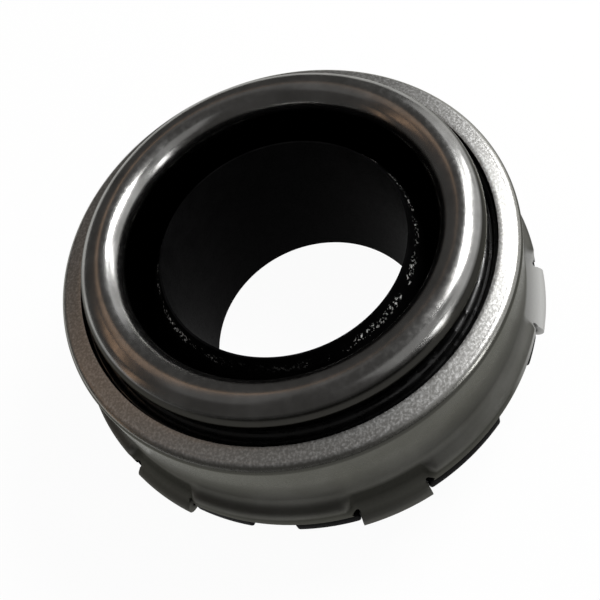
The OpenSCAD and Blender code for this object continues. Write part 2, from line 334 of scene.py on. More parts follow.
top_c = (COVER_R - BEND_R, cover_top_z - BEND_R)
rim_heights = [tab_start_z + (slit_top_z - tab_start_z) * i / RIM_ROWS for i in range(RIM_ROWS + 1)]
skin_section = (
    line((HOLE_R, cover_top_z), (top_c[0], cover_top_z), count=3)
    + arc(top_c, BEND_R, 90, 0, count=10)
    + line((COVER_R, top_c[1]), (COVER_R, tab_start_z), count=5)
    + [(rim_radius(z), z) for z in rim_heights]
)
first_tab_start = tab_middles[0] - TAB_ANGLE / 2
cover_shell = draw_section("cover_shell", skin_section, first_tab_start, closed=False)
for middle, following in zip(tab_middles, tab_middles[1:] + [tab_middles[0] + 360]):
    rim_angle = following - middle - TAB_ANGLE - 2 * slit_angle
    spin(TAB_ANGLE, round(TAB_ANGLE / FACE_ANGLE))
    spin(slit_angle, SLIT_STEPS)
    spin(rim_angle, round(rim_angle / FACE_ANGLE))
    spin(slit_angle, SLIT_STEPS)
close_up()
print("rows in the skin:", len(skin_section))

# %% Tabs pressed out
EDGE_SLACK = 1e-3
TAB_SOFTENING = 2.0


def from_tab(co):
    """Angle from the nearest tab's middle."""
    turn = -degrees(Vector((1, 0)).angle_signed(Vector((co.x, co.y))))
    return min(abs((turn - middle + 180) % 360 - 180) for middle in tab_middles)


def ease(share):
    """Runs from 0 to 1 with a soft start and a soft end."""
    return share * share * (3 - 2 * share)


def set_section_place(v, radius, z):
    """Moves a corner to a radius and height in its own half-plane, in millimetres."""
    way = Vector((v.co.x, v.co.y, 0)).normalized()
    v.co = (way * radius + Vector((0, 0, z))) * MM


shape = bmesh.from_edit_mesh(cover_shell.data)
for v in shape.verts:
    z = v.co.z / MM
    if z > tab_start_z - EDGE_SLACK:
        continue
    past_edge = from_tab(v.co) - TAB_ANGLE / 2
    rise = (z - slit_top_z) / (tab_start_z - slit_top_z)
    share = min(1.0, max(0.0, 1 - past_edge / slit_angle / (1 + TAB_SOFTENING * rise)))
    set_section_place(v, rim_radius(z) + ease(share) * (tab_radius(z) - rim_radius(z)), z)
bmesh.update_edit_mesh(cover_shell.data)
print("tabs reach", round(tab_r - skirt_r, 2), "mm past the rim")

# %% Folds and skirt below the slits
FOLD_ROWS = 14


def extrude_below(in_sector, rows):
    """Carries the skin's lower edge on, in some sectors, along further points of a section."""
    shape = bmesh.from_edit_mesh(cover_shell.data)
    bpy.ops.mesh.select_all(action="DESELECT")
    for e in shape.edges:
        low = all(abs(v.co.z / MM - slit_top_z) < EDGE_SLACK for v in e.verts)
        e.select = low and e.is_boundary and all(in_sector(from_tab(v.co)) for v in e.verts)
    for radius, z in rows:
        bpy.ops.mesh.extrude_region_move(TRANSFORM_OT_translate={"value": (0, 0, 0)})
        shape = bmesh.from_edit_mesh(cover_shell.data)
        for v in shape.verts:
            if v.select:
                set_section_place(v, radius, z)
        bmesh.update_edit_mesh(cover_shell.data)


tab_drop = degrees(asin((tab_start_z - slit_top_z) / tab_hollow_r))
fold_rows = without_repeats(
    arc(tab_hollow_c, tab_hollow_r, 180 + tab_drop, 180 + tab_flare, count=3)
    + arc(tab_fold_c, TAB_FOLD_R, tab_flare, -90, count=FOLD_ROWS)
    + line((tab_fold_c[0], tab_foot_z), (tab_fold_c[0] - TAB_LEG, tab_foot_z), count=4)
)[1:]
skirt_rows = line((skirt_r, slit_top_z), (skirt_r, SKIRT_Z), count=2)[1:]
extrude_below(lambda off: off < TAB_ANGLE / 2 + EDGE_SLACK, fold_rows)
extrude_below(lambda off: off > TAB_ANGLE / 2 + slit_angle - EDGE_SLACK, skirt_rows)
close_up()
top_face = max(bmesh.from_edit_mesh(cover_shell.data).faces, key=lambda f: f.calc_center_median().z)
if top_face.normal.z < 0:
    bpy.ops.mesh.flip_normals()
done()
print("rows in a fold:", len(fold_rows))

# %% Thickness, broken edges and the slits' round ends
SHEET_EDGE = 0.14
DRILL_LENGTH = 4.0
DRILL_SIDES = 24
apply(cover_shell, "SOLIDIFY", thickness=SHEET * MM, offset=-1, use_even_offset=True,
      use_quality_normals=True)
apply(cover_shell, "BEVEL", width=SHEET_EDGE * MM, segments=2, limit_method="ANGLE", angle_limit=radians(60))

bpy.ops.object.select_all(action="DESELECT")
slit_off = (TAB_ANGLE + slit_angle) / 2
slit_turns = [radians(middle + side * slit_off) for middle in tab_middles for side in (-1, 1)]
for number, turn in enumerate(slit_turns):
    bpy.ops.mesh.primitive_cylinder_add(
        vertices=DRILL_SIDES, radius=RELIEF_D / 2 * MM, depth=DRILL_LENGTH * MM, rotation=(0, pi / 2, turn),
        location=Vector((skirt_r * cos(turn), skirt_r * sin(turn), slit_top_z)) * MM)
    if number == 0:
        drill = bpy.context.object
        edit(drill)
done()
apply(cover_shell, "BOOLEAN", operation="DIFFERENCE", object=drill, solver="EXACT", use_self=True)
bpy.data.objects.remove(drill)
smooth(cover_shell, angle=32)
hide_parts("cover")
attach(cover_shell, "carrier")

# %% [markdown]
# ## Guide sleeve
#
# The sleeve is one black moulding: a tube with the bore, a flange that carries the bearing, and pads under
# the flange for the release fork. Tube and flange are spun as one section, and the pads are short sectors of
# another, joined on with a Boolean as the mould joins them. The mouth of the tube is chamfered, and the mould
# has left a ragged line of flash on that chamfer. A bump in the finish would not catch the light along its
# edge, so the chamfer gets close rows of faces and a little noise.

# %% Tube and flange of the sleeve
sleeve_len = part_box("guide_sleeve")[1].z / MM
BORE_R = 17.5
SLEEVE_R = 19.9
SLEEVE_EDGE = 0.4
LIP_LEN = 3.8
LIP_WALL = 0.3
GUSSET = 2.5
WEB_Z = 13.6
WEB_R = 31.3
RIM_R = 33.15
RIM_Z = 11.55
RIM_TOP_Z = 15.25
RIM_EDGE_R = 31.9
RIM_EDGE_Z = 12.95
FLANGE_Z = 16.35
PAD_W = 3.8
FLASH_Z = (25.6, 27.3)
FLASH_RISE = 0.16
FLASH_GRAIN = 0.45
FLASH_WAVE = 2.25
FLASH_WAVE_SHARE = 0.6
FLASH_MARGIN = 0.02
SLEEVE_STEPS = 420


def lip_radius(z):
    """Outer radius on the chamfer at the sleeve's mouth."""
    share = (z - sleeve_len + LIP_LEN) / LIP_LEN
    return SLEEVE_R + share * (BORE_R + LIP_WALL - SLEEVE_R)


sleeve_section = (
    line((BORE_R, SLEEVE_EDGE), (BORE_R, sleeve_len), count=16)
    + [(BORE_R + LIP_WALL, sleeve_len)]
    + line((lip_radius(FLASH_Z[1]), FLASH_Z[1]), (lip_radius(FLASH_Z[0]), FLASH_Z[0]), count=12)
    + [(SLEEVE_R, sleeve_len - LIP_LEN), (SLEEVE_R, FLANGE_Z), (WEB_R, FLANGE_Z), (WEB_R, RIM_TOP_Z),
       (RIM_EDGE_R, RIM_TOP_Z), (RIM_R, RIM_EDGE_Z), (RIM_R, RIM_Z),
       (RIM_R - PAD_W, RIM_Z), (RIM_R - PAD_W, WEB_Z), (SLEEVE_R + GUSSET, WEB_Z), (SLEEVE_R, WEB_Z - GUSSET),
       (SLEEVE_R, SLEEVE_EDGE), (SLEEVE_R - SLEEVE_EDGE, 0), (BORE_R + SLEEVE_EDGE, 0)]
)
sleeve_body = draw_section("sleeve_body", sleeve_section)
spin(360, SLEEVE_STEPS)
close_up()
print("sleeve", round(sleeve_len, 1), "mm long")

# %% Flash on the sleeve's mouth
shape = bmesh.from_edit_mesh(sleeve_body.data)
for v in shape.verts:
    z = v.co.z / MM
    across = (z - FLASH_Z[0]) / (FLASH_Z[1] - FLASH_Z[0])
    in_bore = Vector((v.co.x, v.co.y)).length < (BORE_R + LIP_WALL) * MM
    if in_bore or not FLASH_MARGIN < across < 1 - FLASH_MARGIN:
        continue
    grain = noise.noise(v.co / (FLASH_GRAIN * MM))
    wave = noise.noise(v.co / (FLASH_WAVE * MM))
    rise = max(0.0, grain + FLASH_WAVE_SHARE * wave) * FLASH_RISE * sin(pi * across)
    v.co += v.normal * rise * MM
bmesh.update_edit_mesh(sleeve_body.data)
done()
print("flash from", FLASH_Z[0], "to", FLASH_Z[1], "mm")

# %% Pads under the flange
PAD_OUT_R = 34.15
PAD_LOW_Z = 10.4
PAD_TOP_Z = 13.0
FORK_GAP = 10.0
SIDE_GAP = 15.0
SIDE_GAP_AT = 66.0
NOTCH_ROOM = 0.34
PAD_EDGE = 0.4
LEAST_PAD_STEPS = 4

cuts = [(middle, TAB_ANGLE + 2 * NOTCH_ROOM) for middle in tab_middles]
for end in (0, 180):
    cuts += [(end, FORK_GAP), (end + SIDE_GAP_AT, SIDE_GAP), (end - SIDE_GAP_AT, SIDE_GAP)]
cuts = sorted(((middle % 360) - angle / 2, (middle % 360) + angle / 2) for middle, angle in cuts)
pad_spans = [(a[1], b[0]) for a, b in zip(cuts, cuts[1:] + [(cuts[0][0] + 360, 0)])]
pad_section = [(PAD_OUT_R - PAD_W, PAD_LOW_Z), (PAD_OUT_R, PAD_LOW_Z), (PAD_OUT_R, PAD_TOP_Z),
               (PAD_OUT_R - PAD_W, PAD_TOP_Z)]
pads = []
for start, end in pad_spans:
    pad = draw_section("pad", pad_section, start)
    spin(end - start, max(LEAST_PAD_STEPS, round((end - start) / FACE_ANGLE)))
    bpy.ops.mesh.select_all(action="SELECT")
    bpy.ops.mesh.fill_holes(sides=0)
    close_up()
    done()
    pads.append(pad)
only(pads[0])
for pad in pads:
    pad.select_set(True)
bpy.ops.object.join()
pad_ring = pads[0]
apply(pad_ring, "BEVEL", width=PAD_EDGE * MM, segments=3, limit_method="ANGLE", angle_limit=radians(50))
apply(sleeve_body, "BOOLEAN", operation="UNION", object=pad_ring, solver="EXACT")
bpy.data.objects.remove(pad_ring)
smooth(sleeve_body, angle=40)
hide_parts("guide_sleeve")
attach(sleeve_body, "carrier")
print("pads:", len(pad_spans))

# %% [markdown]
# ## Top seal
#
# In the gap between nose and cover sits a black rubber seal with a round bead, wet with grease. The bead
# could be a torus laid on a disc, but rubber is moulded in one. So bead and disc are one section, spun like
# the others.

# %% Top seal
seal_low, seal_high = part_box("top_seal")
seal_foot_z = seal_low.z / MM
seal_top_z = seal_high.z / MM
seal_out_r = seal_high.x / MM
SEAL_T = 0.9
SEAL_LIP_R = 23.92
SEAL_RIM_Z = 27.3
BEAD_R = 0.75
BEAD_PROUD = 0.1
SEAL_FILLET = 0.3
SEAL_STEPS = 220

bead_c = (nose_r + BEAD_PROUD - BEAD_R, seal_top_z - BEAD_R)
disc_top_z = seal_foot_z + SEAL_T
seal_section = (
    [(SEAL_LIP_R, seal_foot_z), (seal_out_r, seal_foot_z)]
    + arc((seal_out_r - SEAL_T / 2, SEAL_RIM_Z - SEAL_T / 2), SEAL_T / 2, 0, 180, count=8)
    + arc((seal_out_r - SEAL_T - SEAL_FILLET, disc_top_z + SEAL_FILLET), SEAL_FILLET, 0, -90, count=4)
    + [(bead_c[0] + BEAD_R, disc_top_z)]
    + arc(bead_c, BEAD_R, 0, 180, count=14)
    + [(bead_c[0] - BEAD_R, disc_top_z), (SEAL_LIP_R + SEAL_T, disc_top_z),
       (SEAL_LIP_R, disc_top_z + SEAL_T)]
)
seal_bead = draw_section("seal_bead", seal_section)
spin(360, SEAL_STEPS)
close_up()
done()
smooth(seal_bead)
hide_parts("top_seal")
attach(seal_bead, "housing")

# %% [markdown]
# ## Effects that several finishes share
#
# Real surfaces are never one colour. Three small node groups supply what varies: cloudy patches with fine
# flecks, the fine rings that a lathe leaves, and a wet film. Their nodes could be copied into each finish,
# but a group is built once and takes its own values in each. All read the place on the piece, so a pattern
# stays put when the piece moves.

# %% Node helpers
def add(tree, kind, **values):
    """A node with some of its settings or unlinked inputs set by name."""
    made = tree.nodes.new(kind)
    for key, value in values.items():
        if key in made.inputs.keys():
            made.inputs[key].default_value = value
        else:
            setattr(made, key, value)
    return made


def new_group(name, inputs, outputs):
    tree = bpy.data.node_groups.new(name, "ShaderNodeTree")
    tree.interface.new_socket("Place", in_out="INPUT", socket_type="NodeSocketVector")
    for label, value in inputs.items():
        socket = tree.interface.new_socket(label, in_out="INPUT", socket_type="NodeSocketFloat")
        socket.default_value = value
    for label in outputs:
        tree.interface.new_socket(label, in_out="OUTPUT", socket_type="NodeSocketFloat")
    return tree, tree.nodes.new("NodeGroupInput"), tree.nodes.new("NodeGroupOutput")


def per_metre(tree, size_socket):
    """Texture scale for a grain size that is given in millimetres."""
    divide = add(tree, "ShaderNodeMath", operation="DIVIDE")
    divide.inputs[0].default_value = 1 / MM
    tree.links.new(size_socket, divide.inputs[1])
    return divide.outputs[0]


def spread(tree, value, low, high):
    """Stretches the useful middle of a noise to the range from 0 to 1."""
    ramp = add(tree, "ShaderNodeMapRange", interpolation_type="SMOOTHSTEP")
    ramp.inputs["From Min"].default_value = low
    ramp.inputs["From Max"].default_value = high
    tree.links.new(value, ramp.inputs["Value"])
    return ramp.outputs["Result"]


# %% Clouds and flecks
CLOUD_RANGE = (0.3, 0.7)
FLECK_RANGE = (0.35, 0.75)
clouds, entry, leave = new_group(
    "clouds_and_flecks", {"Cloud size": 6.0, "Fleck size": 0.4}, ["Clouds", "Flecks"])
cloud_noise = add(clouds, "ShaderNodeTexNoise", Detail=3.0, Roughness=0.55)
fleck_noise = add(clouds, "ShaderNodeTexNoise", Detail=2.0, Roughness=0.6)
for texture, size in ((cloud_noise, "Cloud size"), (fleck_noise, "Fleck size")):
    clouds.links.new(entry.outputs["Place"], texture.inputs["Vector"])
    clouds.links.new(per_metre(clouds, entry.outputs[size]), texture.inputs["Scale"])
clouds.links.new(spread(clouds, cloud_noise.outputs["Fac"], *CLOUD_RANGE), leave.inputs["Clouds"])
clouds.links.new(spread(clouds, fleck_noise.outputs["Fac"], *FLECK_RANGE), leave.inputs["Flecks"])

# %% Rings from the lathe
def radius_and_height(tree, place):
    """Distance from the axis and height along it, as two sockets."""
    split = add(tree, "ShaderNodeSeparateXYZ")
    flat = add(tree, "ShaderNodeCombineXYZ")
    radius = add(tree, "ShaderNodeVectorMath", operation="LENGTH")
    tree.links.new(place, split.inputs[0])
    tree.links.new(split.outputs["X"], flat.inputs["X"])
    tree.links.new(split.outputs["Y"], flat.inputs["Y"])
    tree.links.new(flat.outputs[0], radius.inputs[0])
    return radius.outputs["Value"], split.outputs["Z"]


rings, entry, leave = new_group("lathe_rings", {"Ring spacing": 0.25}, ["Rings"])
radius, height = radius_and_height(rings, entry.outputs["Place"])
section = add(rings, "ShaderNodeCombineXYZ")
ring_noise = add(rings, "ShaderNodeTexNoise", Detail=3.0, Roughness=0.7)
rings.links.new(radius, section.inputs["X"])
rings.links.new(height, section.inputs["Z"])
rings.links.new(section.outputs[0], ring_noise.inputs["Vector"])
rings.links.new(per_metre(rings, entry.outputs["Ring spacing"]), ring_noise.inputs["Scale"])
rings.links.new(ring_noise.outputs["Fac"], leave.inputs["Rings"])

# %% Wet film
FILM_RANGE = (0.4, 0.65)
film, entry, leave = new_group("wet_film", {"Drop size": 1.5}, ["Film"])
film_noise = add(film, "ShaderNodeTexNoise", Detail=2.0, Roughness=0.5, Distortion=0.8)
film.links.new(entry.outputs["Place"], film_noise.inputs["Vector"])
film.links.new(per_metre(film, entry.outputs["Drop size"]), film_noise.inputs["Scale"])
film.links.new(spread(film, film_noise.outputs["Fac"], *FILM_RANGE), leave.inputs["Film"])
print("groups:", clouds.name, rings.name, film.name)

# %% [markdown]
# ## Finishes
#
# Each finish is one Principled shader. Its colour and roughness run between two values along a mask, and a
# bump gives the finest relief. What is the same all over stays a plain number on the shader. A few helpers
# wire up what every finish needs.

# %% Helpers that start a finish and run values along a mask
MIX_FIRST = 6
MIX_SECOND = 7
MIX_RESULT = 2


def new_finish(name, metallic, **plain):
    finish = bpy.data.materials.new(name)
    finish.use_nodes = True
    tree = finish.node_tree
    shader = tree.nodes["Principled BSDF"]
    shader.inputs["Metallic"].default_value = metallic
    for key, value in plain.items():
        shader.inputs[key].default_value = value
    place = add(tree, "ShaderNodeTexCoord").outputs["Object"]
    return finish, tree, shader, place


def effect(tree, group, place, **values):
    made = tree.nodes.new("ShaderNodeGroup")
    made.node_tree = group
    tree.links.new(place, made.inputs["Place"])
    for key, value in values.items():
        made.inputs[key.replace("_", " ")].default_value = value
    return made.outputs


def between(tree, mask, low, high):
    """A value that runs from low to high along a mask."""
    ramp = add(tree, "ShaderNodeMapRange")
    ramp.inputs["To Min"].default_value = low
    ramp.inputs["To Max"].default_value = high
    tree.links.new(mask, ramp.inputs["Value"])
    return ramp.outputs["Result"]


def blend_colours(tree, mask, first, second):
    """A colour that runs from the first to the second along a mask. Either may be a socket."""
    mix = add(tree, "ShaderNodeMix", data_type="RGBA")
    tree.links.new(mask, mix.inputs["Factor"])
    for socket, colour in ((mix.inputs[MIX_FIRST], first), (mix.inputs[MIX_SECOND], second)):
        if isinstance(colour, tuple):
            socket.default_value = colour + (1,)
        else:
            tree.links.new(colour, socket)
    return mix.outputs[MIX_RESULT]


# %% Helpers for masks and relief
def times(tree, a, b):
    product = add(tree, "ShaderNodeMath", operation="MULTIPLY")
    for socket, value in zip(product.inputs, (a, b)):
        if isinstance(value, float):
            socket.default_value = value
        else:
            tree.links.new(value, socket)
    return product.outputs[0]


def relief(tree, shader, height, depth):
    """Adds a bump of this depth in millimetres on top of any that the shader has."""
    bump = add(tree, "ShaderNodeBump", Strength=1.0, Distance=depth * MM)
    tree.links.new(height, bump.inputs["Height"])
    normal = shader.inputs["Normal"]
    if normal.is_linked:
        tree.links.new(normal.links[0].from_socket, bump.inputs["Normal"])
    tree.links.new(bump.outputs["Normal"], normal)


def mask_above(tree, value, low, high):
    """0 where a length is under one size and 1 where it is over another, in millimetres."""
    ramp = add(tree, "ShaderNodeMapRange")
    ramp.inputs["From Min"].default_value = low * MM
    ramp.inputs["From Max"].default_value = high * MM
    tree.links.new(value, ramp.inputs["Value"])
    return ramp.outputs["Result"]


def dress(piece, finish):
    piece.data.materials.clear()
    piece.data.materials.append(finish)


# %% [markdown]
# ## Zinc on the cover
#
# The cover is plated with zinc, which isn't one grey. It is darker round the rim, with painted shade in the
# hollow of the step, and frosted on top. The top and one side are painted lighter than the wall, for the
# light that falls there. A dark line of painted shade and a light line of painted highlight run round the
# bend. It could be painted on an image, but the piece would need a UV map. Here the colour is laid on in
# layers: each has a mask for where it starts, and covers the ones before it.

# %% Colours of the zinc and where they start
ZINC_FOLD = (0.1, 0.099, 0.09)
ZINC_RIM = (0.07, 0.0693, 0.061)
# Painted shade in the hollow of the step.
ZINC_HOLLOW_SHADE = (0.03, 0.0297, 0.0258)
ZINC_DARK = (0.093, 0.092, 0.083)
ZINC_LIGHT = (0.115, 0.114, 0.105)
# Painted light on one side of the rim and tabs.
ZINC_LIT_SIDE = (0.5, 0.5, 0.49)
# Painted shade and a painted highlight: a dark and a light line round the bend.
ZINC_SHADE = (0.055, 0.0545, 0.048)
ZINC_BEND_HIGHLIGHT = (0.32, 0.317, 0.297)
# The top is frosted, and is painted lighter than the wall for the light that falls on it.
ZINC_LIT_TOP = (0.4, 0.395, 0.38)
ZINC_FLECK = (0.66, 0.66, 0.65)
FOLD_Z = (12.6, 13.2)
HOLLOW_SHADE_Z = (13.8, 15.2)
STEP_SLOPE = 0.9
STEP_CONE = (47.6, 48.2)
LIT_SIDE_Y = (30.5, 34.5)
SHADE_DEPTH = (1.3, 0.9)
BEND_HIGHLIGHT_DEPTH = (0.52, 0.38)
TOP_DEPTH = (0.2, 0.06)


def below_top(depths):
    return [cover_top_z - depth for depth in depths]


# %% Zinc laid on in layers
zinc, tree, shader, place = new_finish("frosted_zinc", 1.0, **{"Specular Tint": (0.6, 0.6, 0.57, 1)})
cloud = effect(tree, clouds, place, Cloud_size=7.0, Fleck_size=0.36)
radius, height = radius_and_height(tree, place)
split = add(tree, "ShaderNodeSeparateXYZ")
tree.links.new(place, split.inputs[0])
cone = add(tree, "ShaderNodeMath", operation="MULTIPLY_ADD")
tree.links.new(height, cone.inputs[0])
cone.inputs[1].default_value = STEP_SLOPE
tree.links.new(radius, cone.inputs[2])
on_top = mask_above(tree, height, *below_top(TOP_DEPTH))
wall_colour = blend_colours(tree, cloud["Clouds"], ZINC_DARK, ZINC_LIGHT)
top_colour = blend_colours(tree, cloud["Flecks"], ZINC_LIT_TOP, ZINC_FLECK)
colour = blend_colours(tree, mask_above(tree, height, *FOLD_Z), ZINC_FOLD, ZINC_RIM)
# The layers hold painted shade in the hollow, painted light on one side, a painted dark and light line round
# the bend, and a top painted lighter than the wall.
layers = (
    (mask_above(tree, height, *HOLLOW_SHADE_Z), ZINC_HOLLOW_SHADE),
    (mask_above(tree, split.outputs["Y"], *LIT_SIDE_Y), ZINC_LIT_SIDE),
    (mask_above(tree, cone.outputs[0], *STEP_CONE), wall_colour),
    (mask_above(tree, height, *below_top(SHADE_DEPTH)), ZINC_SHADE),
    (mask_above(tree, height, *below_top(BEND_HIGHLIGHT_DEPTH)), ZINC_BEND_HIGHLIGHT),
    (on_top, top_colour),
)
for mask, layer_colour in layers:
    colour = blend_colours(tree, mask, colour, layer_colour)
tree.links.new(colour, shader.inputs["Base Color"])
print("layers of zinc:", len(layers))

# %% Roughness and relief of the zinc
WALL_ROUGH = 0.27
TOP_ROUGH = 0.34
FLECK_ROUGH = 0.06
RIM_ROUGH = 0.3
SMOOTH_Z = (18.5, 23.0)
DISH = 0.2
FLECK_RELIEF = 0.004
WALL_RELIEF_SHARE = 0.3

fleck_rough = times(tree, cloud["Flecks"], FLECK_ROUGH)
rim_rough = between(tree, mask_above(tree, height, *SMOOTH_Z), RIM_ROUGH, 0.0)
roughness = between(tree, on_top, WALL_ROUGH, TOP_ROUGH)
for rougher in (fleck_rough, rim_rough):
    total = add(tree, "ShaderNodeMath", operation="ADD")
    tree.links.new(roughness, total.inputs[0])
    tree.links.new(rougher, total.inputs[1])
    roughness = total.outputs[0]
tree.links.new(roughness, shader.inputs["Roughness"])
towards_bend = mask_above(tree, radius, HOLE_R, COVER_R - BEND_R)
relief(tree, shader, between(tree, towards_bend, 1.0, 0.0), DISH)
fleck_height = times(tree, cloud["Flecks"], between(tree, on_top, WALL_RELIEF_SHARE, 1.0))
relief(tree, shader, fleck_height, FLECK_RELIEF)
dress(cover_shell, zinc)
print(zinc.name, "on", cover_shell.name)

# %% [markdown]
# ## Polished steel on the nose
#
# The nose is turned and polished, so its look is mostly what it mirrors. The rings that the lathe left could
# be modelled, but they are far too fine, so a bump gives them. The outer edge and the bore below the flare
# are
# painted darker: painted shade, for the dark that they mirror.

# %% Polished steel on the nose
NOSE_DARK = (0.3, 0.297, 0.288)
NOSE_LIGHT = (0.4, 0.397, 0.388)
# Painted shade on the outer edge of the roll and in the bore below the flare.
NOSE_EDGE_SHADE = (0.03, 0.029, 0.026)
NOSE_BORE_SHADE = (0.012, 0.012, 0.011)
EDGE_BAND = (0.85, 0.5)
BORE_DEPTH = (3.3, 2.6)
NOSE_ROUGH = (0.2, 0.26)
LATHE_RELIEF = 0.004
nose_steel, tree, shader, place = new_finish(
    "polished_nose_steel", 1.0, **{"Specular Tint": (0.6, 0.6, 0.58, 1)})
cloud = effect(tree, clouds, place, Cloud_size=5.0, Fleck_size=0.7)
ring = effect(tree, rings, place, Ring_spacing=0.35)
radius, height = radius_and_height(tree, place)
# Masks for the painted shade at the outer edge and in the bore.
at_shaded_edge = mask_above(tree, radius, *(nose_r - band for band in EDGE_BAND))
above_bore = mask_above(tree, height, *(crest_z - depth for depth in BORE_DEPTH))
colour = blend_colours(tree, cloud["Clouds"], NOSE_DARK, NOSE_LIGHT)
colour = blend_colours(tree, at_shaded_edge, colour, NOSE_EDGE_SHADE)
colour = blend_colours(tree, above_bore, NOSE_BORE_SHADE, colour)
tree.links.new(colour, shader.inputs["Base Color"])
tree.links.new(between(tree, cloud["Flecks"], *NOSE_ROUGH), shader.inputs["Roughness"])
relief(tree, shader, ring["Rings"], LATHE_RELIEF)
dress(nose_ring, nose_steel)
print(nose_steel.name, "on", nose_ring.name)

# %% [markdown]
# ## Black nylon on the sleeve
#
# The sleeve is moulded in black nylon with a matt skin. The flash on its mouth glints in white points. They
# could be left to faces that happen to mirror a lamp, but those would come and go with the view. So the
# glints
# are painted highlights in the colour: flecks of a noise, kept on the chamfer only, and mostly at its two
# sides.

# %% Painted glints on the sleeve's mouth
SPECK_LOW_Z = (26.2, 26.6)
SPECK_HIGH_Z = (27.0, 27.4)
SPECK_Y = (5.0, 13.0)
SPECK_LEAST = 0.06
PATCH_RANGE = (0.2, 0.7)
SPECK_RANGE = (0.55, 0.74)
nylon, tree, shader, place = new_finish("black_nylon", 0.0, **{"Specular IOR Level": 0.01})
cloud = effect(tree, clouds, place, Cloud_size=3.0, Fleck_size=0.38)
radius, height = radius_and_height(tree, place)
on_lip = times(tree, mask_above(tree, height, *SPECK_LOW_Z),
               between(tree, mask_above(tree, height, *SPECK_HIGH_Z), 1.0, 0.0))
on_chamfer = mask_above(tree, radius, BORE_R + LIP_WALL, BORE_R + 2 * LIP_WALL)
split = add(tree, "ShaderNodeSeparateXYZ")
tree.links.new(place, split.inputs[0])
sideways = add(tree, "ShaderNodeMath", operation="ABSOLUTE")
tree.links.new(split.outputs["Y"], sideways.inputs[0])
at_sides = between(tree, mask_above(tree, sideways.outputs[0], *SPECK_Y), SPECK_LEAST, 1.0)
patches = times(tree, spread(tree, cloud["Clouds"], *PATCH_RANGE), at_sides)
# Painted glints: white flecks kept on the chamfer, mostly at its two sides.
glint_specks = times(tree, spread(tree, cloud["Flecks"], *SPECK_RANGE), patches)
glint_specks = times(tree, times(tree, on_chamfer, on_lip), glint_specks)
print("specks from", SPECK_LOW_Z[0], "to", SPECK_HIGH_Z[1], "mm")

# %% Colour and skin of the nylon
NYLON_DARK = (0.0015, 0.0015, 0.0016)
NYLON_LIGHT = (0.003, 0.003, 0.0031)
# White of the painted glints on the flash.
SPECK_GLINT = (0.75, 0.75, 0.73)
NYLON_ROUGH = (0.55, 0.65)
SKIN_RELIEF = 0.01
colour = blend_colours(tree, cloud["Clouds"], NYLON_DARK, NYLON_LIGHT)
tree.links.new(blend_colours(tree, glint_specks, colour, SPECK_GLINT), shader.inputs["Base Color"])
tree.links.new(between(tree, cloud["Flecks"], *NYLON_ROUGH), shader.inputs["Roughness"])
relief(tree, shader, cloud["Flecks"], SKIN_RELIEF)
dress(sleeve_body, nylon)
print(nylon.name, "on", sleeve_body.name)

# %% [markdown]
# ## Greased rubber on the seals
#
# The seals are black rubber under a film of grease. The film could be a thin shell of its own. Here it is
# drops of low roughness with a soft bump, which catch the light in the same way and can't come loose.

# %% Greased rubber on the seals
RUBBER_DARK = (0.002, 0.002, 0.002)
RUBBER_LIGHT = (0.004, 0.004, 0.004)
DRY_ROUGH = 0.4
WET_ROUGH = 0.12
FILM_RELIEF = 0.015
rubber, tree, shader, place = new_finish("greased_rubber", 0.0, **{"Specular IOR Level": 0.5})
cloud = effect(tree, clouds, place, Cloud_size=2.0, Fleck_size=0.5)
wet = effect(tree, film, place, Drop_size=2.2)
tree.links.new(blend_colours(tree, cloud["Clouds"], RUBBER_DARK, RUBBER_LIGHT), shader.inputs["Base Color"])
tree.links.new(between(tree, wet["Film"], DRY_ROUGH, WET_ROUGH), shader.inputs["Roughness"])
relief(tree, shader, wet["Film"], FILM_RELIEF)
dress(seal_bead, rubber)
dress(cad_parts["lower_seal"], rubber)
print(rubber.name, "on the seals")

# %% [markdown]
# ## Finishes of the pieces inside
#
# These pieces hardly show in the picture, but each is a piece of its own that can be taken out. They keep the
# shape of the engineering model. The ground ring, the polished balls and the rolled spring are one recipe for
# steel with other values, so a function makes all three. The cage is tan nylon.

# %% Steels inside
GRIND_RELIEF = 0.002


def steel_finish(name, dark, light, rough, spacing):
    finish, tree, shader, place = new_finish(name, 1.0)
    cloud = effect(tree, clouds, place, Cloud_size=3.0, Fleck_size=0.3)
    ring = effect(tree, rings, place, Ring_spacing=spacing)
    tree.links.new(blend_colours(tree, cloud["Clouds"], dark, light), shader.inputs["Base Color"])
    tree.links.new(between(tree, ring["Rings"], *rough), shader.inputs["Roughness"])
    relief(tree, shader, ring["Rings"], GRIND_RELIEF)
    return finish


race_steel = steel_finish(
    "ground_race_steel", dark=(0.3, 0.3, 0.3), light=(0.4, 0.4, 0.39), rough=(0.12, 0.3), spacing=0.2)
ball_steel = steel_finish(
    "polished_ball_steel", dark=(0.5, 0.5, 0.5), light=(0.58, 0.58, 0.58), rough=(0.05, 0.09), spacing=0.5)
spring_steel = steel_finish(
    "rolled_spring_steel", dark=(0.16, 0.16, 0.17), light=(0.24, 0.24, 0.26), rough=(0.25, 0.4), spacing=0.3)
dress(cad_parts["outer_ring"], race_steel)
dress(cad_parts["wave_spring"], spring_steel)
balls = [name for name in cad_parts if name.startswith("ball_")]
for name in balls:
    dress(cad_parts[name], ball_steel)
print("dressed", len(balls), "balls")

